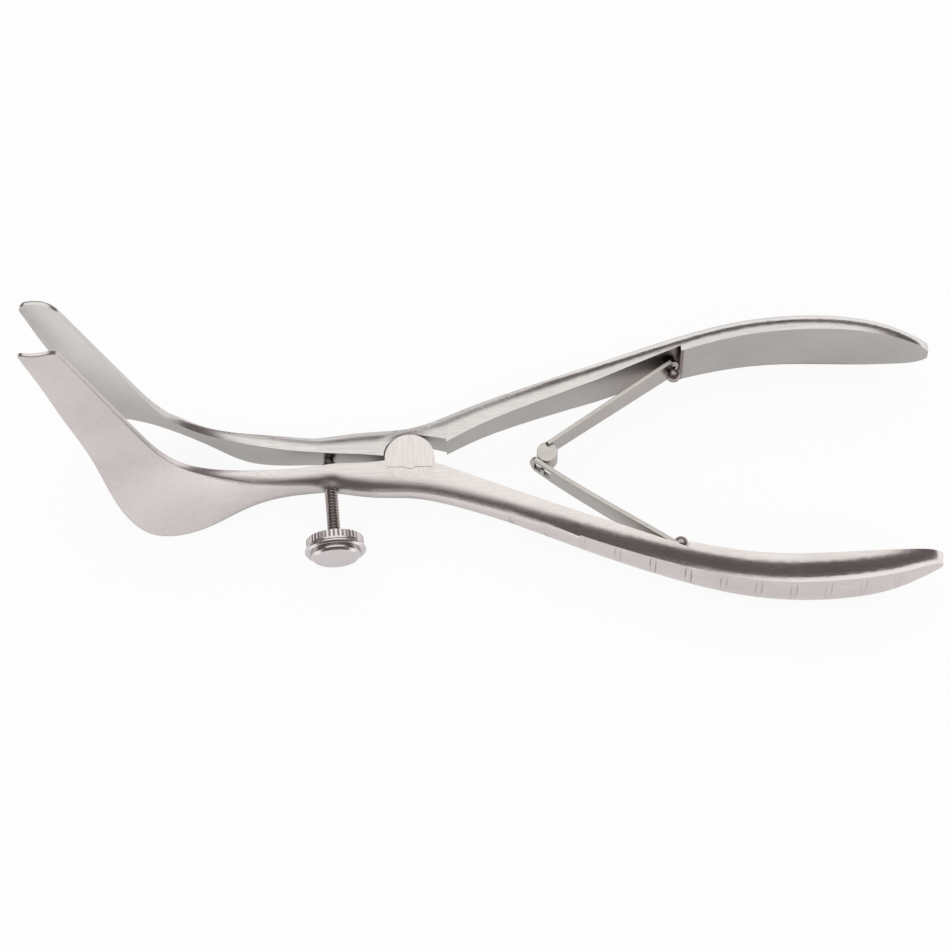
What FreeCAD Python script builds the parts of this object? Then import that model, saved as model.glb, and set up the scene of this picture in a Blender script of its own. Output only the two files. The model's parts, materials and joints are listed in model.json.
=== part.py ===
import FreeCAD, Part
import math
import os

V = FreeCAD.Vector

# Nasal speculum with two blades, a half-lap joint, two leaf springs and a set screw.
# X runs along the instrument, from the blades at -X to the handles at +X.
# Y is the way the blades open, Z is the pivot's axis, and the origin is on that axis,
# at the underside of the joint. All sizes are in millimetres, all angles in degrees.

# joint
joint_radius = 3.9
joint_thickness = 5.2
joint_outside = 5.45         # from the pivot to the branch's outer side
ear_proud = 0.08             # the ears' flat faces stand proud of the bars beside them
ear_overlap = 1.6            # how far an ear runs into its own bar, past the pivot
lap_clearance = 0.04         # between the two flat faces of the lap
relief_clearance = 0.25      # round each ear
relief_over = 1.0            # the cutter of each relief runs this far past the bars
pin_radius = 1.3
pin_head_radius = 1.9
pin_head_depth = 0.6
pin_clearance = 0.03
shoulder_x = 5.8             # where the upper branch's inner face starts again
shoulder_y = 3.06
shoulder_start_x = 1.0       # where the slanted cut starts, above the ear's relief

# shank, between the joint and the blade
shank_width = 5.0
shank_thickness = 3.1
shank_clear = 0.25           # from the middle plane to the inner face, beside the pivot
shank_angle = 3.7            # each shank leans out from the middle plane by this much
shank_end_x = -14.0
shank_straight_x = -8.0      # the shank's inner face is straight from its end to here

# blade, a thin hollow plate that rises from the shank
blade_thickness = 0.9        # at the root
blade_tip_thickness = 0.6
blade_top_z = 50.5           # above the middle of the joint
blade_root_z = 20.0
blade_root_x = -40.6         # of the edge on the handles' side
blade_root_width = 9.3
blade_tip_width = 5.7
blade_lean = 18.1            # from the upright, of the edge on the handles' side
blade_clear = 3.1            # from the middle plane to the edge on the handles' side
blade_far_clear = 3.4        # to the far edge at the tip
blade_far_lean = 0.6         # more than that at the root
blade_crown = 0.55
blade_root_crown = 0.8
blade_narrow = 0.2           # the outer face is this much narrower on each side
section_tilt = 3.5           # the far edge of the root's section lies lower by this
tip_cut_run = 15.0           # the tip's cutter widens by this much on each side
tip_cut_drop = 5.0           # over this height below its corners
tip_near_radius = 2.8
tip_far_radius = 1.2

# heel, where the blade turns into the shank and flares out like a funnel
heel_flare = 9.35            # the lowest rim stands this far out from the middle plane
heel_drop = 6.2              # and this far below the middle of the joint
heel_near_pole = V(5.9, 0.3, -15.9)   # from the blade's root, pulls the near edge round
heel_far_poles = [(4.4, 1.24, 0.66), (19.2, 0.7, 1.22)]   # run along X, share of flare, share of drop
throat_run = 11.0            # from the shank's end to the far edge's last pole
throat_drop = 0.56           # its share of the drop
heel_lead = 6.5              # how far the blade's lines run on before they bend
shank_lead = 4.5             # the same from the shank's end
shank_pinch = 0.2            # the near edge dips by this much there

# handle
handle_end_x = 83.0
handle_oval_x = 66.0         # where the pointed oval of the end starts
handle_width = 13.0
handle_thickness = 3.7
handle_end_thickness = 1.6
handle_spread = 19.2         # from the middle plane to the inner face, at its widest
handle_flat = 7.6            # width of the outer flat
handle_swell = 0.3           # how far the outer face rises along its middle
handle_tip_turn = 80         # the pointed oval stops this many degrees round its quarter
side_start = 0.5             # where a side's rounding is well under way, of the thickness
side_drop = 0.2              # how far it has dropped there, of the whole drop
handle_bow = 0.75            # the branches leave the joint a little to the upper side
bow_x = 13.0
groove_count = 12
groove_first_x = 15.8
groove_pitch = 5.44
groove_width = 1.2
groove_bottom = 0.75
groove_overcut = 4           # the cutter's height, in groove depths
groove_depth = 0.28          # less than the swell, so a groove runs out before the edges

# leaf springs
leaf_thickness = 0.65
leaf_root_x = 41.3
leaf_stand = 0.9             # from the seat to the middle of the leaf, at its screw
leaf_root_width = 5.4
leaf_end_width = 4.0
leaf_tail = 1.35             # how far a leaf runs on past its screw
leaf_end_round = 0.9         # depth of the rounded free end
lower_leaf_bow = 0.3         # the lower leaf bows towards its handle by this much
eye_radius = 1.65
eye_width = 3.2
eye_x = 21.65
eye_y = 0.95                 # the eye's centre stands this far to the upper side
eye_drop = 1.0               # from the leaf's middle to the eye's centre
eye_clearance = 0.12
tongue_width = 1.6
tongue_thickness = 0.55
tongue_reach = 0.6           # past the lower leaf's underside
tongue_tilt = 17.5           # it stands square to the lower leaf halfway through the travel
slot_length = 3.2
slot_shift = 0.8             # of the slot's middle, from beside the eye towards the screw
slot_clearance = 0.3
leaf_overrun = 1.7           # of the lower leaf, past the eye

# spring screws and their seats
seat_depth = 1.0
seat_end_x = 43.15
seat_start_x = 29.0
seat_lead = 0.05             # how far the seat's shallow end lies outside the handle's face
seat_step_lean = 0.4         # the step at the deep end leans by this much
seat_cut_height = 8.0        # over this height
spring_screw_radius = 0.65
spring_screw_head_radius = 1.2
spring_screw_head_height = 1.5
spring_screw_cheek = 0.5     # height of the head's straight side
spring_screw_neck = 0.95     # from the hinge line to the head
spring_screw_grip = 1.6      # depth of the screw in the handle
leaf_hole_clearance = 0.2
screw_fit = 0.03

# set screw
screw_x = -12.65
screw_radius = 1.03
screw_clearance = 0.05
screw_reach = 11.5           # from the lower shank's inner face to the knob
screw_tip_bevel = 0.35
tip_clearance = 0.05         # between the screw's tip and the upper shank
knob_radius = 4.8            # of the plain rim
knob_ring_radius = 4.5       # of the ribbed ring
knob_ring = 1.7              # from the boss's face to the rim
knob_rim = 0.8
knob_disc_radius = 3.9
knob_disc = 0.9
knob_disc_round = 0.4
knob_boss_radius = 1.7
knob_boss = 0.25
knob_edge = 0.3
knob_hole_depth = 1.5
rib_count = 40
rib_overcut = 1.0            # the notches' cutters start this far before the ring
rib_depth = 0.25             # of the notch between two ribs
rib_width = 0.4              # half the notch's width, at the plain rim's radius

half_joint = joint_thickness / 2
beyond = 100.0               # farther than any face, for cutting solids
above_tip = blade_top_z + 2  # where the blade's loft starts, before its tip is cut


def spline_value(points, x):
    """Height of the smooth curve through the points, at x."""
    if x <= points[0][0]:
        return points[0][1]
    if x >= points[-1][0]:
        return points[-1][1]
    slopes = []
    for index, (at, height) in enumerate(points):
        before = points[max(index - 1, 0)]
        after = points[min(index + 1, len(points) - 1)]
        slopes.append((after[1] - before[1]) / (after[0] - before[0]))
    for index in range(len(points) - 1):
        (x0, y0), (x1, y1) = points[index], points[index + 1]
        if x <= x1:
            span = x1 - x0
            t = (x - x0) / span
            start_slope = span * slopes[index]
            end_slope = span * slopes[index + 1]
            start = (2 * t ** 3 - 3 * t ** 2 + 1) * y0 + (t ** 3 - 2 * t ** 2 + t) * start_slope
            end = (3 * t ** 2 - 2 * t ** 3) * y1 + (t ** 3 - t ** 2) * end_slope
            return start + end
    return points[-1][1]


def shank_inner(x):
    """Distance of a shank's inner face from the middle plane, left of the pivot."""
    return shank_clear - x * math.tan(math.radians(shank_angle))


# The handle's lines, each from a few points along X.
inner_line = [(shank_straight_x, shank_inner(shank_straight_x)), (0, shank_clear), (5, 1.7), (11, 4.55),
              (22, 9.0), (34, 13.4), (46, 17.1), (55, 18.8), (64, handle_spread), (74, 18.6),
              (handle_end_x, 17.3)]
thickness_line = [(shank_end_x, shank_thickness), (0, joint_outside - shank_clear), (14, 3.9), (34, 3.5),
                  (62, handle_thickness), (74, 3.2), (handle_end_x, handle_end_thickness)]
bar_width = joint_thickness - 2 * ear_proud
width_line = [(shank_end_x, shank_width), (-4, bar_width), (4, bar_width), (18, 6.4), (34, 9.1), (50, 11.6),
              (handle_oval_x, handle_width), (handle_end_x, handle_width)]
flat_line = [(shank_end_x, 2.2), (0, 2.5), (14, 3.8), (34, 5.8), (handle_oval_x, handle_flat),
             (handle_end_x, handle_flat)]


swell_line = [(0, 0), (groove_first_x - 2, handle_swell), (handle_end_x, handle_swell)]
shank_narrow = (shank_width - flat_line[0][1]) / 2


def bow(x, side):
    """How far a handle stands off its line, as an offset away from the middle plane."""
    if x <= 0:
        return 0
    return side * handle_bow * (x / bow_x) * math.exp((1 - (x / bow_x) ** 2) / 2)


def inner_y(x, side):
    return spline_value(inner_line, x) + bow(x, side)


def outer_y(x, side):
    return inner_y(x, side) + spline_value(thickness_line, x)


def curve(points):
    spline = Part.BSplineCurve()
    spline.interpolate(points)
    return spline.toShape()


def section(near, far, thickness, narrow, crown, swell=0):
    """One cross-section of a branch: inner face, two rounded sides and outer face.

    near and far are the inner face's corners, narrow is how much narrower the outer
    face is on each side, crown is how far the whole section bows outwards, and swell
    how much further the outer face does.
    """
    across = (far - near).normalize()
    out = V(0, 1, 0) - across * across.y
    out.normalize()
    middle = (near + far) * 0.5 + out * crown
    outer_near = near + across * narrow + out * thickness
    outer_far = far - across * narrow + out * thickness
    outer_middle = middle + out * (thickness + swell)
    near_side = near + across * (narrow * side_drop) + out * (thickness * side_start)
    far_side = far - across * (narrow * side_drop) + out * (thickness * side_start)
    return Part.Wire([curve([near, middle, far]),
                      curve([far, far_side, outer_far]),
                      curve([outer_far, outer_middle, outer_near]),
                      curve([outer_near, near_side, near])])


def blade_edge(z):
    """X of the blade's near and far edges at height z, above the heel."""
    near_x = blade_root_x - (z - blade_root_z) * math.tan(math.radians(blade_lean))
    taper = (blade_root_width - blade_tip_width) / (blade_top_z - blade_root_z)
    width = blade_root_width - taper * (z - blade_root_z)
    return near_x, near_x - width


def blade_ends(step):
    """The near and far end of the blade's section, from above the tip (0) to its root (1)."""
    near_z = above_tip - (above_tip - blade_root_z) * step
    far_z = near_z - section_tilt * step
    near = V(blade_edge(near_z)[0], blade_clear, near_z)
    far = V(blade_edge(far_z)[1], blade_far_clear + blade_far_lean * step, far_z)
    return near, far


def blade_sections():
    """Sections from above the tip down to just above the blade's root."""
    sections = []
    steps = 4
    for index in range(steps):
        step = index / steps
        near, far = blade_ends(step)
        thickness = blade_tip_thickness + (blade_thickness - blade_tip_thickness) * step
        crown = blade_crown + (blade_root_crown - blade_crown) * step
        sections.append(section(near, far, thickness, blade_narrow, crown))
    return sections


def guide(poles):
    """A smooth curve that the poles pull into shape."""
    spline = Part.BSplineCurve()
    spline.buildFromPoles(poles, False, 3)
    return spline


def heel_guides():
    """The curves that the branch's near and far edges follow from the blade to the shank."""
    near_root, far_root = blade_ends(1)
    near_top, far_top = blade_ends(0)
    near_down = (near_root - near_top).normalize()
    far_down = (far_root - far_top).normalize()
    lead_x = shank_end_x - shank_lead
    half = shank_width / 2
    near = guide([near_root, near_root + near_down * heel_lead,
                  near_root + heel_near_pole,
                  V(lead_x, shank_inner(lead_x), half - shank_pinch),
                  V(shank_end_x, shank_inner(shank_end_x), half)])
    bends = [V(far_root.x + run, heel_flare * share, -heel_drop * fall)
             for run, share, fall in heel_far_poles]
    far = guide([far_root, far_root + far_down * heel_lead] + bends +
                [V(shank_end_x - throat_run, shank_inner(shank_end_x), -heel_drop * throat_drop),
                 V(shank_end_x, shank_inner(shank_end_x), -half)])
    return near, far


def heel_sections():
    """Sections that fan round from the blade's root into the shank and flare like a funnel."""
    near, far = heel_guides()
    # along the heel, from 0 at the blade's root to 1 at the shank's end
    thickness_points = [(0, blade_thickness), (0.45, 1.1), (0.6, 1.4), (0.75, 2.1), (1, shank_thickness)]
    narrow_points = [(0, blade_narrow), (0.45, 0.25), (0.6, 0.45), (0.75, 0.9), (1, shank_narrow)]
    crown_points = [(0, blade_root_crown), (0.35, 0.85), (0.5, 0.4), (0.65, 0), (1, 0)]
    sections = []
    steps = 8
    for index in range(steps):
        step = index / steps
        sections.append(section(near.value(step), far.value(step), spline_value(thickness_points, step),
                                spline_value(narrow_points, step), spline_value(crown_points, step)))
    return sections


def handle_sections(side):
    """Sections square to X, from the shank through the joint to the handle's pointed end."""
    plain = (shank_end_x, shank_straight_x, -2, 4, 10, 17, 25, 34, 43, 51, 59, handle_oval_x)
    stations = [(x, 1) for x in plain]
    steps = 5
    for index in range(1, steps + 1):
        turn = math.radians(handle_tip_turn * index / steps)
        stations.append((handle_oval_x + (handle_end_x - handle_oval_x) * math.sin(turn), math.cos(turn)))
    sections = []
    for x, share in stations:
        near_y = shank_inner(x) if x < shank_straight_x else inner_y(x, side)
        half = spline_value(width_line, x) / 2 * share
        narrow = half - spline_value(flat_line, x) / 2 * share
        swell = spline_value(swell_line, x) * share
        thickness = spline_value(thickness_line, x)
        sections.append(section(V(x, near_y, half), V(x, near_y, -half), thickness, narrow, 0, swell))
    return sections


def prism(points, along):
    """The solid that the polygon through the points sweeps along a vector."""
    return Part.Face(Part.makePolygon(points + [points[0]])).extrude(along)


def plan_prism(edges):
    """A tall solid in Y over an outline drawn in the XZ plane."""
    face = Part.Face(Part.Wire(edges))
    face.translate(V(0, -beyond, 0))
    return face.extrude(V(0, 2 * beyond, 0))


def line(a, b):
    return Part.LineSegment(a, b).toShape()


def rounded_corner(corner, before, after, radius):
    """Where a rounded corner starts and ends, and the arc between."""
    half_angle = before.getAngle(after) / 2
    reach = radius / math.tan(half_angle)
    inward = (before + after).normalize()
    centre = corner + inward * (radius / math.sin(half_angle))
    start = corner + before * reach
    end = corner + after * reach
    return start, end, Part.Arc(start, centre - inward * radius, end).toShape()


def tip_outline():
    """A prism round the blade's edges with the tip's two rounded corners."""
    near_x, far_x = blade_edge(blade_top_z)
    near_low, far_low = blade_edge(blade_root_z)
    drop = blade_root_z - blade_top_z
    near_down = V(near_low - near_x, 0, drop).normalize()
    far_down = V(far_low - far_x, 0, drop).normalize()
    near_top = V(near_x, 0, blade_top_z)
    far_top = V(far_x, 0, blade_top_z)
    start, near_end, near_arc = rounded_corner(near_top, V(-1, 0, 0), near_down, tip_near_radius)
    far_end, finish, far_arc = rounded_corner(far_top, far_down, V(1, 0, 0), tip_far_radius)
    # below its corners the prism widens, so that it touches nothing but the tip
    near_out = near_end + V(tip_cut_run, 0, -tip_cut_drop)
    far_out = far_end + V(-tip_cut_run, 0, -tip_cut_drop)
    corners = [near_end, near_out, V(beyond, 0, near_out.z), V(beyond, 0, -beyond), V(-beyond, 0, -beyond),
               V(-beyond, 0, far_out.z), far_out, far_end]
    sides = [line(corners[index], corners[index + 1]) for index in range(len(corners) - 1)]
    return plan_prism([near_arc] + sides + [far_arc, line(finish, start)])


def groove(x, side):
    """A cutter with sloping walls, laid across the handle's outer flat."""
    spot = V(x, outer_y(x, side) + handle_swell, 0)
    along = V(1, outer_y(x + 0.5, side) - outer_y(x - 0.5, side), 0).normalize()
    inward = V(along.y, -along.x, 0)
    bottom = along * (groove_bottom / 2)
    wall = (along * ((groove_width - groove_bottom) / 2) - inward * groove_depth) * groove_overcut
    deep = spot + inward * groove_depth - V(0, 0, handle_width)
    return prism([deep + bottom, deep + bottom + wall, deep - bottom + wall - along * (2 * along.dot(wall)),
                  deep - bottom], V(0, 0, 2 * handle_width))


def grooves(side):
    return [groove(groove_first_x + index * groove_pitch, side) for index in range(groove_count)]


def seat_ends(side):
    """The shallow and the deep end of the seat's face."""
    start = V(seat_start_x, inner_y(seat_start_x, side) - seat_lead, 0)
    end = V(seat_end_x, inner_y(seat_end_x, side) + seat_depth, 0)
    return start, end


def seat_cut(side):
    """The flat milled into a handle's inner face for its spring, ending in a step."""
    start, end = seat_ends(side)
    below = V(seat_end_x + seat_step_lean, end.y - seat_cut_height, 0)
    corner = V(seat_start_x, start.y - seat_cut_height, 0)
    cutter = prism([start, end, below, corner], V(0, 0, 2 * handle_width))
    return cutter.translated(V(0, 0, -handle_width))


def smooth_loft(sections):
    return Part.makeLoft(sections, True, False, False, 4)


def branch(side):
    """A whole branch on the +Y side, before its ear, reliefs and holes."""
    handle_stations = handle_sections(side)
    blade = smooth_loft(blade_sections() + heel_sections() + handle_stations[:1])
    bar = blade.common(tip_outline()).fuse(smooth_loft(handle_stations))
    bar = bar.cut(grooves(side))
    return bar.cut(seat_cut(side))


def disc(radius, low, high):
    """A disc round the pivot between two heights."""
    return Part.makeCylinder(radius, high - low, V(0, 0, low))


def ear(side, low, high):
    """A branch's own half of the joint, a disc that runs into its bar."""
    keep_y = ear_overlap - beyond if side > 0 else -ear_overlap
    keep = Part.makeBox(2 * beyond, beyond, 2 * beyond, V(-beyond, keep_y, -beyond))
    return disc(joint_radius, low, high).common(keep)


def pin_solid(clearance):
    """The pivot rivet, with both heads sunk flush; clearance widens it for its hole."""
    shaft = Part.makeCylinder(pin_radius + clearance, joint_thickness, V(0, 0, -half_joint))
    head = Part.makeCone(pin_radius + clearance, pin_head_radius + clearance, pin_head_depth,
                         V(0, 0, half_joint - pin_head_depth))
    foot = Part.makeCone(pin_head_radius + clearance, pin_radius + clearance, pin_head_depth,
                         V(0, 0, -half_joint))
    return shaft.fuse([head, foot]).removeSplitter()


def spring_axis(side):
    """Direction of a spring screw, square to its seat, into the space between the handles."""
    start, end = seat_ends(side)
    along = (end - start).normalize()
    return V(along.y, -along.x * side, 0)


def root_point(side):
    """Where a leaf's middle meets its screw's axis; side is 1 above and -1 below."""
    start, end = seat_ends(side)
    seat_y = start.y + (end.y - start.y) * (leaf_root_x - start.x) / (end.x - start.x)
    return V(leaf_root_x, side * seat_y, 0) + spring_axis(side) * leaf_stand


def eye_centre():
    return V(eye_x, eye_y, 0)


def leaf_direction(side, offset):
    """Unit vector from a leaf's root that passes the eye's centre at an offset.

    The offset is towards the handles' side of the upper leaf and the joint's side
    of the lower one.
    """
    reach = eye_centre() - root_point(side)
    turn = math.degrees(math.asin(offset / reach.Length))
    toward = V(reach.x, reach.y, 0).normalize()
    swing = math.radians(-turn)
    return V(toward.x * math.cos(swing) - toward.y * math.sin(swing),
             toward.x * math.sin(swing) + toward.y * math.cos(swing), 0)


def upper_leaf_direction():
    return leaf_direction(1, eye_drop)


def lower_leaf_direction():
    return leaf_direction(-1, -(eye_radius + eye_clearance + leaf_thickness / 2))


def leaf_strip(root, toward, length, leaf_bow):
    """A tapering strip from past its screw to its far end, with both ends rounded."""
    side = V(-toward.y, toward.x, 0)
    up = V(0, 0, 1)
    root_half = up * (leaf_root_width / 2)
    end_half = up * (leaf_end_width / 2)
    cover = side * (leaf_thickness * 4)
    start = root - cover
    shoulder = start + toward * (length - leaf_end_round)
    outline = Part.Face(Part.Wire([
        Part.Arc(start - root_half, start - toward * leaf_tail, start + root_half).toShape(),
        line(start + root_half, shoulder + end_half),
        Part.Arc(shoulder + end_half, start + toward * length, shoulder - end_half).toShape(),
        line(shoulder - end_half, start - root_half)]))
    outline = outline.extrude(cover * 2)
    tail = root - toward * (leaf_tail + leaf_thickness)
    end = root + toward * (length + leaf_thickness)
    lift = side * (leaf_thickness / 2)
    middle = (root + root + toward * length) * 0.5 + side * leaf_bow
    sheet = Part.Face(Part.Wire([
        curve([tail - lift, root - lift, middle - lift, end - lift]), line(end - lift, end + lift),
        curve([end + lift, middle + lift, root + lift, tail + lift]), line(tail + lift, tail - lift)]))
    sheet.translate(V(0, 0, -leaf_root_width))
    return sheet.extrude(V(0, 0, 2 * leaf_root_width)).common(outline)


def leaf_hole(root, toward):
    """The round hole of a leaf, wide enough for the leaf to rock on its screw's neck."""
    side = V(-toward.y, toward.x, 0)
    radius = spring_screw_radius + leaf_hole_clearance
    return Part.makeCylinder(radius, leaf_thickness * 8, root - side * leaf_thickness * 4, side)


def upper_spring():
    """Leaf, eye and the tongue that holds the lower leaf."""
    root = root_point(1)
    toward = upper_leaf_direction()
    centre = eye_centre()
    strip = leaf_strip(root, toward, (centre - root).dot(toward), 0)
    eye = Part.makeCylinder(eye_radius, eye_width, centre + V(0, 0, -eye_width / 2))
    along = lower_leaf_direction()
    down = V(-along.y, along.x, 0)
    reach = eye_radius + eye_clearance + leaf_thickness + tongue_reach
    base = centre - along * (tongue_thickness / 2) + V(0, 0, -tongue_width / 2)
    tongue = prism([base, base + along * tongue_thickness, base + along * tongue_thickness + down * reach,
                    base + down * reach], V(0, 0, tongue_width))
    tongue.rotate(centre, V(0, 0, 1), tongue_tilt)
    return strip.cut(leaf_hole(root, toward)).fuse([eye, tongue]).removeSplitter()


def lower_spring():
    """Leaf with a slot near its end for the upper leaf's tongue."""
    root = root_point(-1)
    toward = lower_leaf_direction()
    side = V(-toward.y, toward.x, 0)
    to_eye = (eye_centre() - root).dot(toward)
    strip = leaf_strip(root, toward, to_eye + leaf_overrun, lower_leaf_bow)
    width = tongue_width + 2 * slot_clearance
    cover = side * (leaf_thickness * 3)
    base = root + toward * (to_eye - slot_shift - slot_length / 2) - cover + V(0, 0, -width / 2)
    slot = prism([base, base + toward * slot_length, base + toward * slot_length + V(0, 0, width),
                  base + V(0, 0, width)], cover * 2)
    return strip.cut(leaf_hole(root, toward)).cut(slot)


def spring_screw(side, clearance):
    """Dome-headed screw that holds a leaf's root; its stem alone when cutting the hole."""
    axis = spring_axis(side)
    seat = root_point(side) - axis * leaf_stand
    head_base = root_point(side) + axis * spring_screw_neck
    start = seat - axis * spring_screw_grip
    stem = Part.makeCylinder(spring_screw_radius + clearance, (head_base - start).Length, start, axis)
    if clearance:
        return stem
    head = Part.makeCylinder(spring_screw_head_radius, spring_screw_cheek, head_base, axis)
    rise = spring_screw_head_height - spring_screw_cheek
    ball_radius = (spring_screw_head_radius ** 2 + rise ** 2) / (2 * rise)
    ball = Part.makeSphere(ball_radius, head_base + axis * (spring_screw_head_height - ball_radius))
    keep = Part.makeCylinder(spring_screw_head_radius, spring_screw_head_height, head_base, axis)
    return stem.fuse([head, ball.common(keep)]).removeSplitter()


def screw_place():
    """Point on the lower shank's inner face and the screw's direction to its knob."""
    point = V(screw_x, -shank_inner(screw_x), 0)
    tilt = math.radians(shank_angle)
    return point, V(math.sin(tilt), -math.cos(tilt), 0)


def set_screw_shaft():
    """Plain stem of the set screw with a bevelled tip that bears on the upper shank."""
    point, axis = screw_place()
    gap = 2 * shank_inner(screw_x)
    slant = screw_radius * math.tan(math.radians(2 * shank_angle))
    tip = point - axis * (gap - tip_clearance - slant * 0.5)
    length = (point - tip).Length + screw_reach + knob_hole_depth
    stem = Part.makeCylinder(screw_radius, length, tip, axis)
    rim = [edge for edge in stem.Edges if edge.isClosed() and (edge.CenterOfMass - tip).Length < 0.01]
    return stem.makeChamfer(screw_tip_bevel, rim)


def knob_profile():
    """Half profile of the knob: radius against distance from its inner face."""
    rim_end = knob_ring + knob_rim
    top = rim_end + knob_disc
    return [V(0, 0, 0), V(knob_boss_radius, 0, 0), V(knob_boss_radius, 0, knob_boss),
            V(knob_ring_radius, 0, knob_boss), V(knob_ring_radius, 0, knob_ring),
            V(knob_radius, 0, knob_ring + knob_edge), V(knob_radius, 0, rim_end - knob_edge),
            V(knob_radius - knob_edge, 0, rim_end), V(knob_disc_radius, 0, rim_end),
            V(knob_disc_radius, 0, top - knob_disc_round), V(knob_disc_radius - knob_disc_round, 0, top),
            V(0, 0, top)]


def set_screw_knob():
    """Knurled thumb knob, turned to its profile and ribbed round the rim."""
    points = knob_profile()
    face = Part.Face(Part.makePolygon(points + [points[0]]))
    body = face.revolve(V(0, 0, 0), V(0, 0, 1), 360)
    cutters = []
    for index in range(rib_count):
        turn = 360 * index / rib_count
        low = -rib_overcut
        rise = V(0, 0, knob_ring + rib_overcut - knob_edge)
        notch = prism([V(knob_ring_radius - rib_depth, 0, low), V(knob_radius, -rib_width, low),
                       V(knob_radius, rib_width, low)], rise)
        notch.rotate(V(0, 0, 0), V(0, 0, 1), turn)
        cutters.append(notch)
    body = body.cut(cutters)
    body = body.cut(Part.makeCylinder(screw_radius + screw_clearance, knob_hole_depth, V(0, 0, 0)))
    point, axis = screw_place()
    body.rotate(V(0, 0, 0), V(1, 0, 0), 90)
    body.rotate(V(0, 0, 0), V(0, 0, 1), shank_angle)
    body.translate(point + axis * screw_reach)
    return body


def upper_branch():
    side = 1
    bar = branch(side)
    low_y = -joint_radius
    shoulder = prism([V(shoulder_start_x, joint_radius + relief_clearance, -beyond),
                      V(shoulder_x, shoulder_y, -beyond), V(shoulder_x, low_y, -beyond),
                      V(0, low_y, -beyond), V(0, 0, -beyond)], V(0, 0, 2 * beyond))
    bar = bar.cut(shoulder)
    bar = bar.fuse(ear(side, -half_joint, 0))
    bar = bar.cut(disc(joint_radius + relief_clearance, -lap_clearance, half_joint + relief_over))
    bar = bar.cut(pin_solid(pin_clearance))
    return bar.cut(spring_screw(side, screw_fit))


def lower_branch():
    side = -1
    bar = branch(side).mirror(V(0, 0, 0), V(0, 1, 0))
    bar = bar.fuse(ear(side, 0, half_joint))
    bar = bar.cut(disc(joint_radius + relief_clearance, -half_joint - relief_over, 0))
    bar = bar.cut(pin_solid(0))
    point, axis = screw_place()
    hole_start = point - axis * screw_radius
    bar = bar.cut(Part.makeCylinder(screw_radius + screw_clearance, screw_reach, hole_start, axis))
    return bar.cut(spring_screw(side, screw_fit))


def write(name, shape):
    """Writes one piece, moved up so that the joint's underside lies at Z = 0."""
    solids = shape.Solids
    if len(solids) == 1:
        shape = solids[0]
    placed = shape.translated(V(0, 0, half_joint))
    placed.exportStep("parts/" + name + ".step")
    print(name, "solids", len(solids), "volume", round(placed.Volume, 2), "valid", placed.isValid())


os.makedirs("parts", exist_ok=True)
write("lower_branch", lower_branch())
write("upper_branch", upper_branch())
write("pivot_pin", pin_solid(0))
write("lower_spring", lower_spring())
write("upper_spring", upper_spring())
write("lower_spring_screw", spring_screw(-1, 0))
write("upper_spring_screw", spring_screw(1, 0))
write("set_screw_shaft", set_screw_shaft())
write("set_screw_knob", set_screw_knob())
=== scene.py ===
# %% [markdown]
# # A sprung nasal speculum in satin steel
#
# This file dresses one hand instrument, piece by piece: two forged branches with thin
# spoon-like blades, a lap joint with a flush rivet, two leaf springs that meet at a small
# knuckle, and a set screw with a knurled thumb knob. Every length is in metres, X runs
# along the instrument, Y is the way the blades open, and Z is the pivot's axis.

# %% The tools and the solid pieces
import json
import math

import bmesh
import bpy
from mathutils import Matrix, Vector


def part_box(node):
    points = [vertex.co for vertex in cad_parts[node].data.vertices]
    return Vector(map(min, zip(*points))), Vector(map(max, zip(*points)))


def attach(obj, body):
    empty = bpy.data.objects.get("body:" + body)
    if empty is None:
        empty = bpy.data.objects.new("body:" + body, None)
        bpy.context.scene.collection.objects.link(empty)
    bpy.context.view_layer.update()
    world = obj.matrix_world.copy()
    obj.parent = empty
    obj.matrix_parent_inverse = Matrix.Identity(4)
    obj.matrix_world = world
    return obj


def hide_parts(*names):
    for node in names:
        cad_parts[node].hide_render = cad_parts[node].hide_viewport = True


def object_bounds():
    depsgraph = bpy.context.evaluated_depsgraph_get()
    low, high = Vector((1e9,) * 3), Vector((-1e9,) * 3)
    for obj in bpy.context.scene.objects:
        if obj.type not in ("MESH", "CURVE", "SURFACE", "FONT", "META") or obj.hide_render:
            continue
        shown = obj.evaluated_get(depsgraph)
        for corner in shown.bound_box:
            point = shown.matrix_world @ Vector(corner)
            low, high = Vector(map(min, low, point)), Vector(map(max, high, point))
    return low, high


MM = 0.001
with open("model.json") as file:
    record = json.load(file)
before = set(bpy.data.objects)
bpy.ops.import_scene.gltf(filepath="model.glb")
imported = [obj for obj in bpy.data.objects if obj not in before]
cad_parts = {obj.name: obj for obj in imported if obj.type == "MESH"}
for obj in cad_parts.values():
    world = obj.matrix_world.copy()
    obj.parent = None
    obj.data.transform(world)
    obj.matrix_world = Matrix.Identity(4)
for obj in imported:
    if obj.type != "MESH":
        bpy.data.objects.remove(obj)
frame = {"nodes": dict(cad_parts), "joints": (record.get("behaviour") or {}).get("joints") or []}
solid_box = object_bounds()
nodes = frame["nodes"]
joints = {joint["name"]: joint for joint in frame["joints"]}
print("solid pieces:", sorted(nodes))

# %% [markdown]
# ## The camera
#
# The instrument lies almost flat before a long lens. The camera stands above it and leans
# a little towards the branch that holds the set screw. A camera can be aimed by hand, or
# its place can be worked out from where the pivot falls in the picture: here the second
# way is used, because then the view follows from five plain values.

# %% Place and aim the camera
picture_width = 950                 # pixels
pixels_per_mm = 6.345               # at the pivot
camera_distance = 600               # mm
camera_lean = math.radians(24)      # from the pivot's axis
camera_roll = math.radians(-1.1)
pivot_pixel = (410, 463.9)
sensor_width = 36                   # mm

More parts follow.
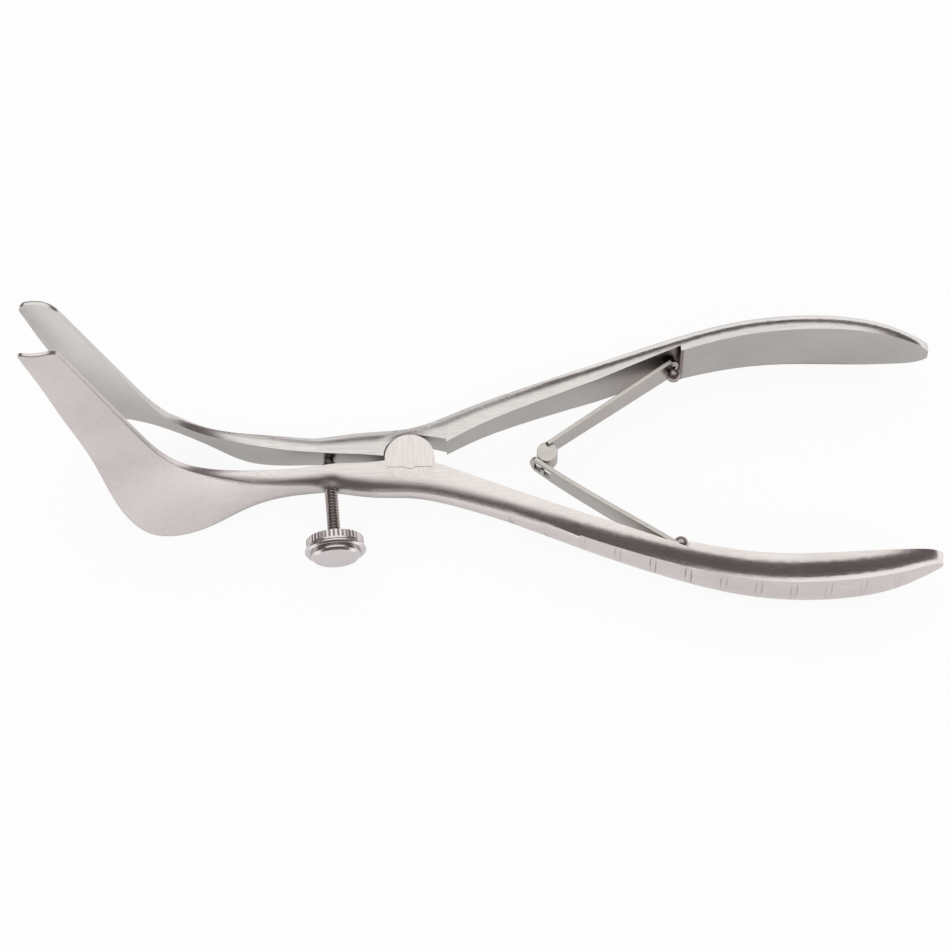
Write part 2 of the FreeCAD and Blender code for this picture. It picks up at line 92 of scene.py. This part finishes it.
pivot_middle = Vector((0, 0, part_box("pivot_pin")[1].z / 2))
level_up = Vector((0, math.cos(camera_lean), math.sin(camera_lean)))
backward = Vector((0, -math.sin(camera_lean), math.cos(camera_lean)))
level_right = Vector((1, 0, 0))
right = level_right * math.cos(camera_roll) + level_up * math.sin(camera_roll)
up = level_up * math.cos(camera_roll) - level_right * math.sin(camera_roll)
shift_right = (pivot_pixel[0] - picture_width / 2) / pixels_per_mm
shift_up = (picture_width / 2 - pivot_pixel[1]) / pixels_per_mm
from_pivot_mm = backward * camera_distance - right * shift_right - up * shift_up
camera_place = pivot_middle + from_pivot_mm * MM

camera_data = bpy.data.cameras.new("camera")
camera_data.sensor_width = sensor_width
camera_data.lens = camera_distance * pixels_per_mm * sensor_width / picture_width
camera = bpy.data.objects.new("camera", camera_data)
turn = Matrix((right, up, backward)).transposed().to_4x4()
camera.matrix_world = Matrix.Translation(camera_place) @ turn
bpy.context.scene.collection.objects.link(camera)
bpy.context.scene.camera = camera
print("camera at", tuple(round(c, 3) for c in camera_place), "lens", round(camera_data.lens, 1))

# %% [markdown]
# ## The threaded stem
#
# The set screw's stem is a fine-threaded rod. A thread could be painted with a bump, but a
# cut thread breaks up the light along the rod's outline too, so it is made as a shape. One
# notch of the thread is drawn as a short line, then spun round the rod's axis while it
# also slides along it, which is what a lathe does. Two plane cuts square off the ends.
# The solid stem says where the axis lies and how long and thick the rod may be.

# %% Cut the thread
thread_pitch = 0.5 * MM
thread_depth = 0.27 * MM
thread_flat = 0.06 * MM             # width of the crest, so that it isn't a knife edge
thread_steps = 32                   # facets in one turn
lead_in = 0.45 * MM                 # the plain point before the first turn
merge_distance = thread_pitch / 100
plane_distance = thread_pitch / 50  # a vertex this near to a cut lies on it


def find_stem():
    """The stem's end at the upper branch, its direction, length and radius."""
    joint = joints["set_screw_turn"]
    along = Vector(joint["axis"]).normalized()
    middle = Vector(joint["pos_m"])
    offsets = [vertex.co - middle for vertex in nodes["set_screw_shaft"].data.vertices]
    heights = [offset.dot(along) for offset in offsets]
    radius = max((offset - along * offset.dot(along)).length for offset in offsets)
    return middle + along * min(heights), along, max(heights) - min(heights), radius


def sweep_thread(shape, tip, along, crest, turns):
    """Spins one notch of the thread round the axis while it slides along it."""
    aside = Vector((0, 0, 1))
    root = crest - thread_depth
    start = tip - along * thread_pitch
    notch = [(root, 0), (crest, (thread_pitch - thread_flat) / 2),
             (crest, (thread_pitch + thread_flat) / 2), (root, thread_pitch)]
    points = [shape.verts.new(start + along * height + aside * reach) for reach, height in notch]
    for first, second in zip(points, points[1:]):
        shape.edges.new((first, second))
    bmesh.ops.spin(shape, geom=list(shape.verts) + list(shape.edges), cent=tip, axis=along,
                   dvec=along * thread_pitch / thread_steps, angle=turns * 2 * math.pi,
                   steps=turns * thread_steps)
    bmesh.ops.remove_doubles(shape, verts=shape.verts, dist=merge_distance)


def square_end(shape, place, outwards):
    """Cuts the rod square at a place, closes it and gives back the new face."""
    everything = list(shape.verts) + list(shape.edges) + list(shape.faces)
    bmesh.ops.bisect_plane(shape, geom=everything, plane_co=place, plane_no=outwards,
                           clear_outer=True)
    rim = [edge for edge in shape.edges if edge.is_boundary
           and all(abs((v.co - place).dot(outwards)) < plane_distance for v in edge.verts)]
    return bmesh.ops.contextual_create(shape, geom=rim)["faces"]


def draw_out_point(shape, cap, outwards):
    """Steps the closed end in and draws it out to the plain point."""
    bmesh.ops.inset_region(shape, faces=cap, thickness=thread_depth / 2)
    grown = bmesh.ops.extrude_face_region(shape, geom=cap)["geom"]
    bmesh.ops.delete(shape, geom=cap, context="FACES")
    moved = [item for item in grown if isinstance(item, bmesh.types.BMVert)]
    bmesh.ops.translate(shape, verts=moved, vec=outwards * lead_in)


def put_in_order(elements, place):
    """Lists vertices, edges or faces by place, so that each run gives the same mesh."""
    ranks = {element: rank for rank, element in enumerate(sorted(elements, key=place))}
    elements.sort(key=ranks.get)


def cut_stem():
    tip, along, length, crest = find_stem()
    turns = math.ceil(length / thread_pitch) + 2
    shape = bmesh.new()
    sweep_thread(shape, tip, along, crest, turns)
    cap = square_end(shape, tip + along * lead_in, -along)
    draw_out_point(shape, cap, -along)
    square_end(shape, tip + along * length, along)
    bmesh.ops.recalc_face_normals(shape, faces=shape.faces)
    put_in_order(shape.verts, lambda vertex: tuple(vertex.co))
    put_in_order(shape.edges, lambda edge: tuple(edge.verts[0].co + edge.verts[1].co))
    put_in_order(shape.faces, lambda face: tuple(face.calc_center_median()))
    mesh = bpy.data.meshes.new("threaded_stem")
    shape.to_mesh(mesh)
    shape.free()
    stem = bpy.data.objects.new("threaded_stem", mesh)
    bpy.context.scene.collection.objects.link(stem)
    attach(stem, "screw_stem")
    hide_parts("set_screw_shaft")
    long_mm = round(length / MM, 2)
    print("thread of", turns, "turns,", len(mesh.polygons), "faces, length", long_mm, "mm")
    return stem


threaded_stem = cut_stem()

# %% [markdown]
# ## Helpers for materials
#
# A material is a small chain of nodes. Short helpers keep each chain readable: one adds a
# node and sets its inputs, one joins two sockets, one does a sum, one blends two values,
# and one starts a material with its Principled BSDF.


# %% Node helpers
def add_node(tree, kind, **settings):
    node = tree.nodes.new(kind)
    for name, value in settings.items():
        if name in node.inputs:
            node.inputs[name].default_value = value
        else:
            setattr(node, name, value)
    return node


def join(tree, source, target):
    tree.links.new(source, target)


def feed(tree, value, socket):
    """Sets a socket to a number, or joins another socket to it."""
    if isinstance(value, (int, float)):
        socket.default_value = value
    else:
        tree.links.new(value, socket)


def maths(tree, operation, first, second):
    node = tree.nodes.new("ShaderNodeMath")
    node.operation = operation
    feed(tree, first, node.inputs[0])
    feed(tree, second, node.inputs[1])
    return node.outputs[0]


def blend_values(tree, share, first, second):
    node = tree.nodes.new("ShaderNodeMix")
    feed(tree, share, node.inputs["Factor"])
    feed(tree, first, node.inputs["A"])
    feed(tree, second, node.inputs["B"])
    return node.outputs["Result"]


def blend_colours(tree, share, first, second, kind="MIX"):
    """A Mix node for colours; each colour is a socket or three numbers."""
    node = tree.nodes.new("ShaderNodeMix")
    node.data_type = "RGBA"
    node.blend_type = kind
    feed(tree, share, node.inputs["Factor"])
    for colour, place in ((first, 6), (second, 7)):
        if isinstance(colour, tuple):
            node.inputs[place].default_value = (*colour, 1)
        else:
            join(tree, colour, node.inputs[place])
    return node.outputs[2]


def ramp(tree, value, low, high, smooth=True):
    """0 below low and 1 above high; with high under low it runs the other way."""
    node = tree.nodes.new("ShaderNodeMapRange")
    if smooth:
        node.interpolation_type = "SMOOTHSTEP"
    node.inputs["From Min"].default_value = low
    node.inputs["From Max"].default_value = high
    join(tree, value, node.inputs["Value"])
    return node.outputs["Result"]


def start_material(name):
    material = bpy.data.materials.new(name)
    material.use_nodes = True
    tree = material.node_tree
    shader = tree.nodes["Principled BSDF"]
    return material, tree, shader


def start_group(name, inputs, outputs):
    """An empty node group with named sockets: (name, type, default)."""
    group = bpy.data.node_groups.new(name, "ShaderNodeTree")
    for label, kind, default in inputs:
        socket = group.interface.new_socket(label, in_out="INPUT", socket_type=kind)
        if default is not None:
            socket.default_value = default
    for label, kind in outputs:
        group.interface.new_socket(label, in_out="OUTPUT", socket_type=kind)
    start = group.nodes.new("NodeGroupInput")
    end = group.nodes.new("NodeGroupOutput")
    return group, start, end


# %% [markdown]
# ## Brush lines
#
# Satin steel gets its look from a wheel that leaves fine lines along the work. They could
# be painted as a picture, but a noise that is squeezed across the lines and drawn out
# along them gives the same look at any size. The group takes a stretch for each direction:
# a small number draws the lines out that way.


# %% The brush lines group
def build_brush_lines():
    group, start, end = start_group(
        "brush_lines",
        [("Vector", "NodeSocketVector", None), ("Stretch", "NodeSocketVector", (0.03, 1.0, 1.0)),
         ("Fineness", "NodeSocketFloat", 5200.0)],
        [("Value", "NodeSocketFloat")])
    drawn = add_node(group, "ShaderNodeVectorMath", operation="MULTIPLY")
    join(group, start.outputs["Vector"], drawn.inputs[0])
    join(group, start.outputs["Stretch"], drawn.inputs[1])
    noise = add_node(group, "ShaderNodeTexNoise", Detail=3.0, Roughness=0.6)
    join(group, drawn.outputs["Vector"], noise.inputs["Vector"])
    join(group, start.outputs["Fineness"], noise.inputs["Scale"])
    join(group, ramp(group, noise.outputs["Fac"], 0.28, 0.72), end.inputs["Value"])
    return group


brush_lines = build_brush_lines()
print("brush lines:", len(brush_lines.nodes), "nodes")


def lines(tree, coordinates, stretch, fineness):
    node = add_node(tree, "ShaderNodeGroup", node_tree=brush_lines)
    node.inputs["Stretch"].default_value = stretch
    node.inputs["Fineness"].default_value = fineness
    join(tree, coordinates, node.inputs["Vector"])
    return node.outputs["Value"]


# %% [markdown]
# ## How the branches were finished
#
# A branch is not brushed one way all over. The bars are polished lengthwise, the round
# lap of the joint is ground flat across, and the blades are blasted to an even satin that
# doesn't glare. One group mixes the three grains by where a point lies on the instrument,
# and says how high on a blade it lies, whether it is by a leaf spring's seat, and how
# much the polishing wheel has rounded the outer edges there.

# %% The branch finish group
lap_radius = 3.9 * MM
lap_fade = 0.02                     # the share of the radius over which the two grains meet
clean_lap = 1.3                     # in lap radii: nearer to the pivot the edges stay clean
clean_fade = 0.2
blade_start = -24 * MM              # where the bar's polish gives way to the blade's satin
blade_full = -34 * MM
blade_low = 10 * MM                 # a blade's inner face is painted lighter between these heights
blade_high = 38 * MM
seat_start = 26 * MM                # the leaf springs' seats lie between these along X
seat_end = 43.2 * MM
seat_fade = 0.3 * MM
pin_zone = 3.4 * MM                 # the rivet and the ground flat round it stay sharp
pin_fade = 0.12
handle_start = 14 * MM              # the handle's own rounding takes over along this stretch
handle_full = 30 * MM
grain_along_bar = ((0.03, 1.0, 1.0), 4200)      # how a grain is drawn out, and how fine it is
grain_across_lap = ((1.0, 0.04, 1.0), 4800)
grain_of_blade = ((1.0, 1.0, 1.0), 3000)


def distance_from_pivot(group, parts):
    flat = group.nodes.new("ShaderNodeCombineXYZ")
    join(group, parts.outputs["X"], flat.inputs["X"])
    join(group, parts.outputs["Y"], flat.inputs["Y"])
    away = add_node(group, "ShaderNodeVectorMath", operation="LENGTH")
    join(group, flat.outputs["Vector"], away.inputs[0])
    return away.outputs["Value"]


def build_branch_finish():
    group, start, end = start_group(
        "branch_finish", [("Vector", "NodeSocketVector", None)],
        [("Grain", "NodeSocketFloat"), ("Blade", "NodeSocketFloat"), ("Lap", "NodeSocketFloat"),
         ("Height", "NodeSocketFloat"), ("Seat", "NodeSocketFloat"), ("Rounding", "NodeSocketFloat")])
    place = start.outputs["Vector"]
    parts = group.nodes.new("ShaderNodeSeparateXYZ")
    join(group, place, parts.inputs["Vector"])
    away = distance_from_pivot(group, parts)

    on_lap = ramp(group, away, lap_radius * (1 + lap_fade), lap_radius * (1 - lap_fade))
    on_blade = ramp(group, parts.outputs["X"], blade_start, blade_full)
    bar_grain = lines(group, place, *grain_along_bar)
    lap_grain = lines(group, place, *grain_across_lap)
    blade_grain = lines(group, place, *grain_of_blade)
    joint_grain = blend_values(group, on_lap, bar_grain, lap_grain)
    join(group, blend_values(group, on_blade, joint_grain, blade_grain), end.inputs["Grain"])
    join(group, on_blade, end.inputs["Blade"])

    by_lap = ramp(group, away, lap_radius * (clean_lap + clean_fade), lap_radius * clean_lap)
    join(group, by_lap, end.inputs["Lap"])
    join(group, ramp(group, parts.outputs["Z"], blade_low, blade_high), end.inputs["Height"])

    before = ramp(group, parts.outputs["X"], seat_start, seat_end)
    behind = ramp(group, parts.outputs["X"], seat_end + 2 * seat_fade, seat_end + seat_fade)
    join(group, maths(group, "MULTIPLY", before, behind), end.inputs["Seat"])

    off_pin = ramp(group, away, pin_zone, pin_zone * (1 + pin_fade))
    off_handle = ramp(group, parts.outputs["X"], handle_full, handle_start)
    join(group, maths(group, "MULTIPLY", off_pin, off_handle), end.inputs["Rounding"])
    return group


branch_finish = build_branch_finish()
print("branch finish:", [item.name for item in branch_finish.interface.items_tree])

# %% [markdown]
# ## Clouding, rubbed edges and painted corner shade
#
# Handled steel is never even. Broad soft patches are a little duller, and they come from a
# slow noise. Edges are rubbed bright: the surface's own normal is compared with a rounded
# one, which differs only near an edge. Corners and crevices get painted shade: a short look
# round each point finds them, and there the colour is darkened.


# %% The clouding, edge and corner shade groups
def build_clouding():
    group, start, end = start_group(
        "clouding",
        [("Vector", "NodeSocketVector", None), ("Scale", "NodeSocketFloat", 90.0)],
        [("Value", "NodeSocketFloat")])
    noise = add_node(group, "ShaderNodeTexNoise", Detail=3.0, Roughness=0.5)
    join(group, start.outputs["Vector"], noise.inputs["Vector"])
    join(group, start.outputs["Scale"], noise.inputs["Scale"])
    join(group, ramp(group, noise.outputs["Fac"], 0.35, 0.65), end.inputs["Value"])
    return group


def build_edges():
    group, start, end = start_group(
        "rubbed_edges",
        [("Radius", "NodeSocketFloat", 0.0002)],
        [("Edge", "NodeSocketFloat"), ("Normal", "NodeSocketVector")])
    rounded = add_node(group, "ShaderNodeBevel", samples=6)
    join(group, start.outputs["Radius"], rounded.inputs["Radius"])
    own = group.nodes.new("ShaderNodeNewGeometry")
    likeness = add_node(group, "ShaderNodeVectorMath", operation="DOT_PRODUCT")
    join(group, rounded.outputs["Normal"], likeness.inputs[0])
    join(group, own.outputs["Normal"], likeness.inputs[1])
    edge = ramp(group, likeness.outputs["Value"], 0.995, 0.9, smooth=False)
    join(group, edge, end.inputs["Edge"])
    join(group, rounded.outputs["Normal"], end.inputs["Normal"])
    return group


def build_outer_rounding():
    """Rounds off the edges towards Side (+1 or -1 along Y) and leaves the others crisp."""
    group, start, end = start_group(
        "outer_rounding",
        [("Radius", "NodeSocketFloat", 0.001), ("Side", "NodeSocketFloat", 1.0)],
        [("Normal", "NodeSocketVector")])
    rounded = add_node(group, "ShaderNodeBevel", samples=8)
    join(group, start.outputs["Radius"], rounded.inputs["Radius"])
    own = group.nodes.new("ShaderNodeNewGeometry")
    turned = add_node(group, "ShaderNodeVectorTransform", vector_type="NORMAL",
                      convert_from="WORLD", convert_to="OBJECT")
    join(group, rounded.outputs["Normal"], turned.inputs["Vector"])
    parts = group.nodes.new("ShaderNodeSeparateXYZ")
    join(group, turned.outputs["Vector"], parts.inputs["Vector"])
    outwards = maths(group, "MULTIPLY", parts.outputs["Y"], start.outputs["Side"])
    outwards = ramp(group, outwards, 0.0, 0.12)
    chosen = add_node(group, "ShaderNodeMix", data_type="VECTOR")
    join(group, outwards, chosen.inputs["Factor"])
    join(group, own.outputs["Normal"], chosen.inputs[4])
    join(group, rounded.outputs["Normal"], chosen.inputs[5])
    evened = add_node(group, "ShaderNodeVectorMath", operation="NORMALIZE")
    join(group, chosen.outputs[1], evened.inputs[0])
    join(group, evened.outputs["Vector"], end.inputs["Normal"])
    return group


def build_corners():
    group, start, end = start_group(
        "painted_corner_shade", [("Reach", "NodeSocketFloat", 0.0015)], [("Value", "NodeSocketFloat")])
    # Painted shade: the colour darkens where nearby surfaces close round a point.
    nearby = add_node(group, "ShaderNodeAmbientOcclusion", samples=8)
    join(group, start.outputs["Reach"], nearby.inputs["Distance"])
    join(group, ramp(group, nearby.outputs["AO"], 0.85, 0.25), end.inputs["Value"])
    return group


clouding = build_clouding()
rubbed_edges = build_edges()
outer_rounding = build_outer_rounding()
painted_corner_shade = build_corners()
for effect in (clouding, rubbed_edges, outer_rounding, painted_corner_shade):
    print(effect.name + ":", len(effect.nodes), "nodes")

# %% [markdown]
# ## The steels
# All pieces are stainless steel, so one recipe serves them: a warm grey metal, a grain
# that changes its roughness and bump, soft clouding, brighter rubbed edges and painted
# shade in the corners. What differs is how coarse the grain is, which way it runs, and how
# matt the finish is. The faces of a branch that look at the other branch are ground and not
# polished, so they are rougher, and their colour gets painted shade; high on the blades it
# gets painted light instead, and the springs' seats get painted shade.

# %% The shares and colours of the steel
# Painted shade for corners and crevices.
corner_shade_colour = (0.10, 0.065, 0.06)
seat_shade_colour = (0.15, 0.105, 0.09)   # painted shade in the recessed seats under the leaf springs
inner_shade_tint = (0.80, 0.80, 0.79)    # painted shade: how much darker the faces that look at the other branch are
tip_light_colour = (0.85, 0.855, 0.835)   # painted light: the blades' inner faces are lighter towards their tips
seat_shade_share = 0.85
tip_light_share = 0.7
cloud_share = 0.4                   # clouding's part in the tone, against the grain's
rubbed_share = 0.5
rubbed_gain = 1.1                   # how much brighter a rubbed edge is than the light tone
ground_roughness = 0.1              # what a ground face adds to the roughness
blade_roughness = 0.08
bar_round = 2.9                     # mm, how broadly the bars' outer edges are rounded over
blade_round = 0.45                  # mm, the same on the thin blades


# %% The inner faces of a branch
def finish_inner_faces(tree, place, finish, side, colour, rough):
    """Paints shade on the ground faces and into the springs' seats, and paints light on the blades'
    inner faces towards their tips.
    """
    facing = tree.nodes.new("ShaderNodeSeparateXYZ")
    join(tree, place.outputs["Normal"], facing.inputs["Vector"])
    inner = ramp(tree, facing.outputs["Y"], 0.6 * side, 0.8 * side)
    height = finish.outputs["Height"]
    # Painted shade: the faces that look at the other branch are darkened, less so high on a blade.
    inner_shade = maths(tree, "MULTIPLY", inner, maths(tree, "SUBTRACT", 1.0, height))
    colour = blend_colours(tree, inner_shade, colour, inner_shade_tint, "MULTIPLY")
    # Painted light: high on a blade its inner faces are lightened.
    tip_light = maths(tree, "MULTIPLY", inner, height)
    tip_light = maths(tree, "MULTIPLY", tip_light, tip_light_share)
    colour = blend_colours(tree, tip_light, colour, tip_light_colour)
    # Painted shade in the springs' seats and on their end walls.
    step = ramp(tree, facing.outputs["X"], -0.4, -0.7)
    seat_shade = maths(tree, "MULTIPLY", maths(tree, "MAXIMUM", inner, step), finish.outputs["Seat"])
    colour = blend_colours(tree, maths(tree, "MULTIPLY", seat_shade, seat_shade_share), colour, seat_shade_colour)
    more = maths(tree, "MULTIPLY", inner, ground_roughness)
    rough = maths(tree, "ADD", rough, more)
    more = maths(tree, "MULTIPLY", finish.outputs["Blade"], blade_roughness)
    return colour, maths(tree, "ADD", rough, more)


# %% The normal of a branch
def round_outer_edges(tree, finish, side):
    """The branch's normal, with its outer edges rounded over."""
    rounding = add_node(tree, "ShaderNodeGroup", node_tree=outer_rounding)
    radius = maths(tree, "MULTIPLY", finish.outputs["Rounding"], bar_round * MM)
    radius = blend_values(tree, finish.outputs["Blade"], radius, blade_round * MM)
    join(tree, radius, rounding.inputs["Radius"])
    rounding.inputs["Side"].default_value = side
    return rounding.outputs["Normal"]


# %% The steel recipe
def steel(name, dark, light, roughness, grain_depth, grain=None, inner_side=0.0,
          edge_radius=0.12, corner_shade_share=0.6, lap_without_corner_shade=False):
    """A satin steel.

    dark and light are its two tones, and roughness is a range. A branch has no grain of its
    own but the branch finish, and inner_side, +1 or -1 along Y, says where its mate lies.
    """
    material, tree, shader = start_material(name)
    place = tree.nodes.new("ShaderNodeTexCoord")
    low, high = roughness
    if grain is None:
        finish = add_node(tree, "ShaderNodeGroup", node_tree=branch_finish)
        join(tree, place.outputs["Object"], finish.inputs["Vector"])
        grain_value = finish.outputs["Grain"]
        off_lap = maths(tree, "SUBTRACT", 1.0, finish.outputs["Lap"])
    else:
        grain_value = lines(tree, place.outputs["Object"], *grain)
    cloud = add_node(tree, "ShaderNodeGroup", node_tree=clouding)
    join(tree, place.outputs["Object"], cloud.inputs["Vector"])
    edges = add_node(tree, "ShaderNodeGroup", node_tree=rubbed_edges)
    edges.inputs["Radius"].default_value = edge_radius * MM
    corner_shading = add_node(tree, "ShaderNodeGroup", node_tree=painted_corner_shade)

    tone = blend_values(tree, cloud_share, grain_value, cloud.outputs["Value"])
    colour = blend_colours(tree, tone, dark, light)
    rough = maths(tree, "ADD", maths(tree, "MULTIPLY", tone, high - low), low)
    if grain is None:
        colour, rough = finish_inner_faces(tree, place, finish, inner_side, colour, rough)

    edge = maths(tree, "MULTIPLY", edges.outputs["Edge"], rubbed_share)
    if grain is None:
        edge = maths(tree, "MULTIPLY", edge, off_lap)
    rubbed = tuple(min(1, rubbed_gain * tint) for tint in light)
    colour = blend_colours(tree, edge, colour, rubbed)
    # Painted shade in the corners that the short look round finds.
    corner = maths(tree, "MULTIPLY", corner_shading.outputs["Value"], corner_shade_share)
    if lap_without_corner_shade:
        corner = maths(tree, "MULTIPLY", corner, off_lap)
    colour = blend_colours(tree, corner, colour, corner_shade_colour)
    join(tree, colour, shader.inputs["Base Color"])
    join(tree, rough, shader.inputs["Roughness"])
    shader.inputs["Metallic"].default_value = 1.0

    if grain is None:
        normal = round_outer_edges(tree, finish, -inner_side)
    else:
        normal = edges.outputs["Normal"]
    bump = add_node(tree, "ShaderNodeBump", Strength=1.0)
    bump.inputs["Distance"].default_value = grain_depth * MM
    join(tree, grain_value, bump.inputs["Height"])
    join(tree, normal, bump.inputs["Normal"])
    join(tree, bump.outputs["Normal"], shader.inputs["Normal"])
    return material


# %% [markdown]
# ## Five steels
#
# The two branches come from the same forge and are the same steel, but the one with the set
# screw gets a lighter, warmer copy of it, painted light for the brighter, warmer light that
# its outer faces catch. The springs are duller and darker, the small screws darker still,
# and the knob is as bright as the branches. The rivet is ground flush with the lower branch
# and polished with it, so it takes the same steel and shows only as a hair line. The
# threaded stem takes the small screws' steel.

# %% Give each solid its steel
# Painted light: the lower branch's steel is a lighter, warmer copy of the upper branch's.
lower_lit_steel = steel("lower_branch_lit_steel", (0.57, 0.54, 0.53), (0.71, 0.68, 0.665),
                    (0.18, 0.28), 0.0014, inner_side=1.0, lap_without_corner_shade=True)
upper_steel = steel("upper_branch_steel", (0.53, 0.52, 0.505), (0.67, 0.66, 0.64),
                    (0.18, 0.28), 0.0014, inner_side=-1.0)
spring_steel = steel("spring_steel", (0.40, 0.38, 0.36), (0.56, 0.535, 0.51),
                     (0.26, 0.38), 0.002, grain=((0.05, 1.0, 1.0), 5200))
screw_steel = steel("screw_steel", (0.34, 0.30, 0.29), (0.48, 0.44, 0.42),
                    (0.25, 0.38), 0.0015, grain=((0.6, 1.0, 1.0), 5200), edge_radius=0.06)
knob_steel = steel("knob_steel", (0.58, 0.55, 0.555), (0.72, 0.69, 0.695),
                   (0.18, 0.28), 0.0012, grain=((0.5, 1.0, 1.0), 5200), edge_radius=0.1)

finishes = {
    "lower_branch": lower_lit_steel, "upper_branch": upper_steel, "pivot_pin": lower_lit_steel,
    "lower_spring": spring_steel, "upper_spring": spring_steel,
    "lower_spring_screw": screw_steel, "upper_spring_screw": screw_steel,
    "set_screw_knob": knob_steel,
}
for name, finish in finishes.items():
    nodes[name].data.materials.clear()
    nodes[name].data.materials.append(finish)
threaded_stem.data.materials.append(screw_steel)
print("finished", len(finishes), "solids and the stem")

# %% [markdown]
# ## The floor
#
# The instrument lies on a flat white floor. It is a matt sheet that takes the shadow, mixed
# with a plain glow, so that the camera and the steel both see it white. Steel shows what
# stands round it, so the floor near by gives the pale outer faces. Farther off, the floor's
# glow turns dark for the steel only, a painted reflection of a dark room, and where the steel
# sees the floor at a slant, the glow is brighter, a painted reflection of a rising sweep.


# %% Lay the floor
floor_reach = 3.0
floor_white = (0.95, 0.945, 0.945)
sweep_bright = 0.22                 # nearer to the pivot than this the steel sees a white floor
sweep_dark = 0.34                   # and further than this a dark one
# The far floor's glow for the steel, a painted reflection of a dark room.
painted_dark_room = (0.07, 0.06, 0.06)
painted_sweep_rise = 0.9                    # how much brighter the floor glows for the steel at a slant, a painted reflection of a rising sweep
glow_for_camera = 0.92
glow_for_steel = 0.55


def floor_glow(tree, path, far):
    """The floor's glow: white near by; for the steel it is dark far away and brighter at a slant, a
    painted reflection of a dark room and a rising sweep.
    """
    slant = add_node(tree, "ShaderNodeLayerWeight", Blend=0.5)
    slant_glow = ramp(tree, slant.outputs["Facing"], 0.3, 0.85)
    slant_glow = maths(tree, "MULTIPLY", slant_glow, path.outputs["Is Glossy Ray"])
    strength = maths(tree, "ADD", 1.0, maths(tree, "MULTIPLY", slant_glow, painted_sweep_rise))
    glow = tree.nodes.new("ShaderNodeEmission")
    join(tree, strength, glow.inputs["Strength"])
    join(tree, blend_colours(tree, far, (1.0, 1.0, 1.0), painted_dark_room), glow.inputs["Color"])
    return glow


def white_sweep():
    material, tree, shader = start_material("white_sweep")
    shader.inputs["Base Color"].default_value = (*floor_white, 1)
    shader.inputs["Roughness"].default_value = 0.9
    path = tree.nodes.new("ShaderNodeLightPath")
    place = tree.nodes.new("ShaderNodeTexCoord")
    away = add_node(tree, "ShaderNodeVectorMath", operation="LENGTH")
    join(tree, place.outputs["Object"], away.inputs[0])
    far = ramp(tree, away.outputs["Value"], sweep_bright, sweep_dark)
    far = maths(tree, "MULTIPLY", far, path.outputs["Is Glossy Ray"])
    for_camera = maths(tree, "MULTIPLY", path.outputs["Is Camera Ray"], glow_for_camera)
    for_steel = maths(tree, "MULTIPLY", path.outputs["Is Glossy Ray"], glow_for_steel)
    share = maths(tree, "MAXIMUM", maths(tree, "MAXIMUM", for_camera, for_steel), far)
    glow = floor_glow(tree, path, far)
    mix = tree.nodes.new("ShaderNodeMixShader")
    join(tree, share, mix.inputs["Fac"])
    join(tree, shader.outputs["BSDF"], mix.inputs[1])
    join(tree, glow.outputs["Emission"], mix.inputs[2])
    join(tree, mix.outputs["Shader"], tree.nodes["Material Output"].inputs["Surface"])
    return material


def build_floor():
    floor_height = solid_box[0].z
    shape = bmesh.new()
    bmesh.ops.create_grid(shape, x_segments=1, y_segments=1, size=floor_reach)
    bmesh.ops.translate(shape, verts=shape.verts, vec=(0, 0, floor_height))
    mesh = bpy.data.meshes.new("floor")
    shape.to_mesh(mesh)
    shape.free()
    mesh.materials.append(white_sweep())
    floor = bpy.data.objects.new("floor", mesh)
    bpy.context.scene.collection.objects.link(floor)
    print("floor at height", round(floor_height / MM, 2), "mm")


build_floor()

# %% [markdown]
# ## The tent
#
# A broad soft ceiling lights the instrument, as in a light tent whose front and sides stay
# dark. The ceiling gives the light strips along the tops, and the dark sides give the dark
# bands on the rounded corners. Lamps could do the same, but a small lamp leaves hard
# spots on satin steel, so the world itself is the tent. Matt things don't mirror the tent,
# and they receive one even light instead.

# %% Light the tent
ceiling_tilt = math.radians(22)     # the ceiling leans this far to the back
ceiling_full = math.radians(33)     # it is bright up to this angle from its middle
ceiling_edge = math.radians(50)     # and dark beyond this one
ceiling_light = 1.25
side_light = 0.16
room_light = 0.97                   # what matt things receive from the whole tent
side_tint = (1.0, 0.85, 0.86)
ceiling_tint = (1.0, 0.985, 0.965)
backdrop = (1.0, 1.0, 1.0)


def build_tent():
    world = bpy.data.worlds.new("tent")
    bpy.context.scene.world = world
    world.use_nodes = True
    tree = world.node_tree
    sky = tree.nodes["Background"]
    look = tree.nodes.new("ShaderNodeTexCoord")
    height = add_node(tree, "ShaderNodeVectorMath", operation="DOT_PRODUCT")
    join(tree, look.outputs["Generated"], height.inputs[0])
    height.inputs[1].default_value = (0, math.sin(ceiling_tilt), math.cos(ceiling_tilt))
    ceiling = ramp(tree, height.outputs["Value"], math.cos(ceiling_edge), math.cos(ceiling_full))
    strength = blend_values(tree, ceiling, side_light, ceiling_light)
    path = tree.nodes.new("ShaderNodeLightPath")
    strength = blend_values(tree, path.outputs["Is Diffuse Ray"], strength, room_light)
    strength = blend_values(tree, path.outputs["Is Camera Ray"], strength, 1.0)
    tint = blend_colours(tree, ceiling, side_tint, ceiling_tint)
    tint = blend_colours(tree, path.outputs["Is Camera Ray"], tint, backdrop)
    join(tree, tint, sky.inputs["Color"])
    join(tree, strength, sky.inputs["Strength"])
    print("tent:", len(tree.nodes), "nodes")


build_tent()

# %% [markdown]
# ## Colour management
#
# The Standard view shows each colour as it is written.

# %% Set the view
bpy.context.scene.view_settings.view_transform = "Standard"
